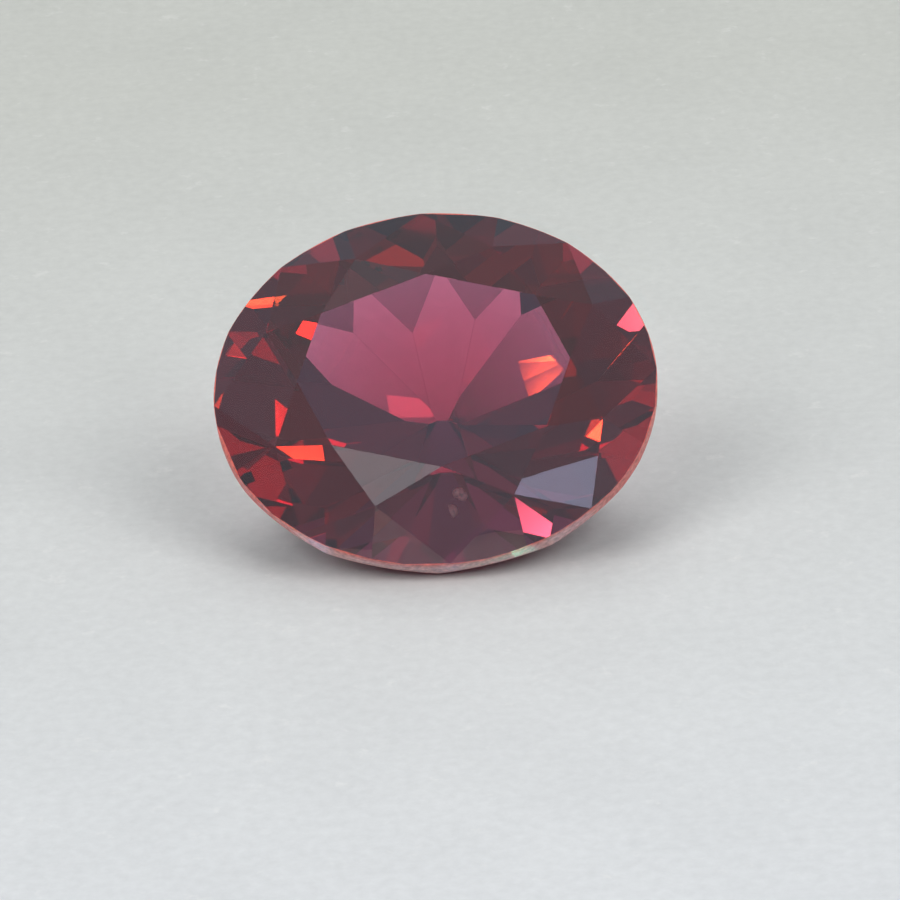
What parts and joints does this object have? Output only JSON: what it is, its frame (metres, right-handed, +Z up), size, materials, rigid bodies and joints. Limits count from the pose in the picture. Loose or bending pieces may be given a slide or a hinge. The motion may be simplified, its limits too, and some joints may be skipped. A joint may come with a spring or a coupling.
{
  "type": "faceted gemstone",
  "caption": "Loose oval brilliant-cut tourmaline, a clear raspberry-red faceted crystal lying on a facet of its pavilion, with its table leaning towards the viewer.",
  "frame": {"origin": "middle of the bounding box's base, on the surface that the stone rests on", "axes": "+Z up from the surface, +X along the stone's length, -Y the side that the table leans towards"},
  "size_m": [0.0094, 0.0062, 0.0059],
  "materials": {
    "tourmaline": "polished clear raspberry-red crystal"
  },
  "bodies": {
    "root": {"gemstone": "tourmaline"}
  },
  "joints": []
}
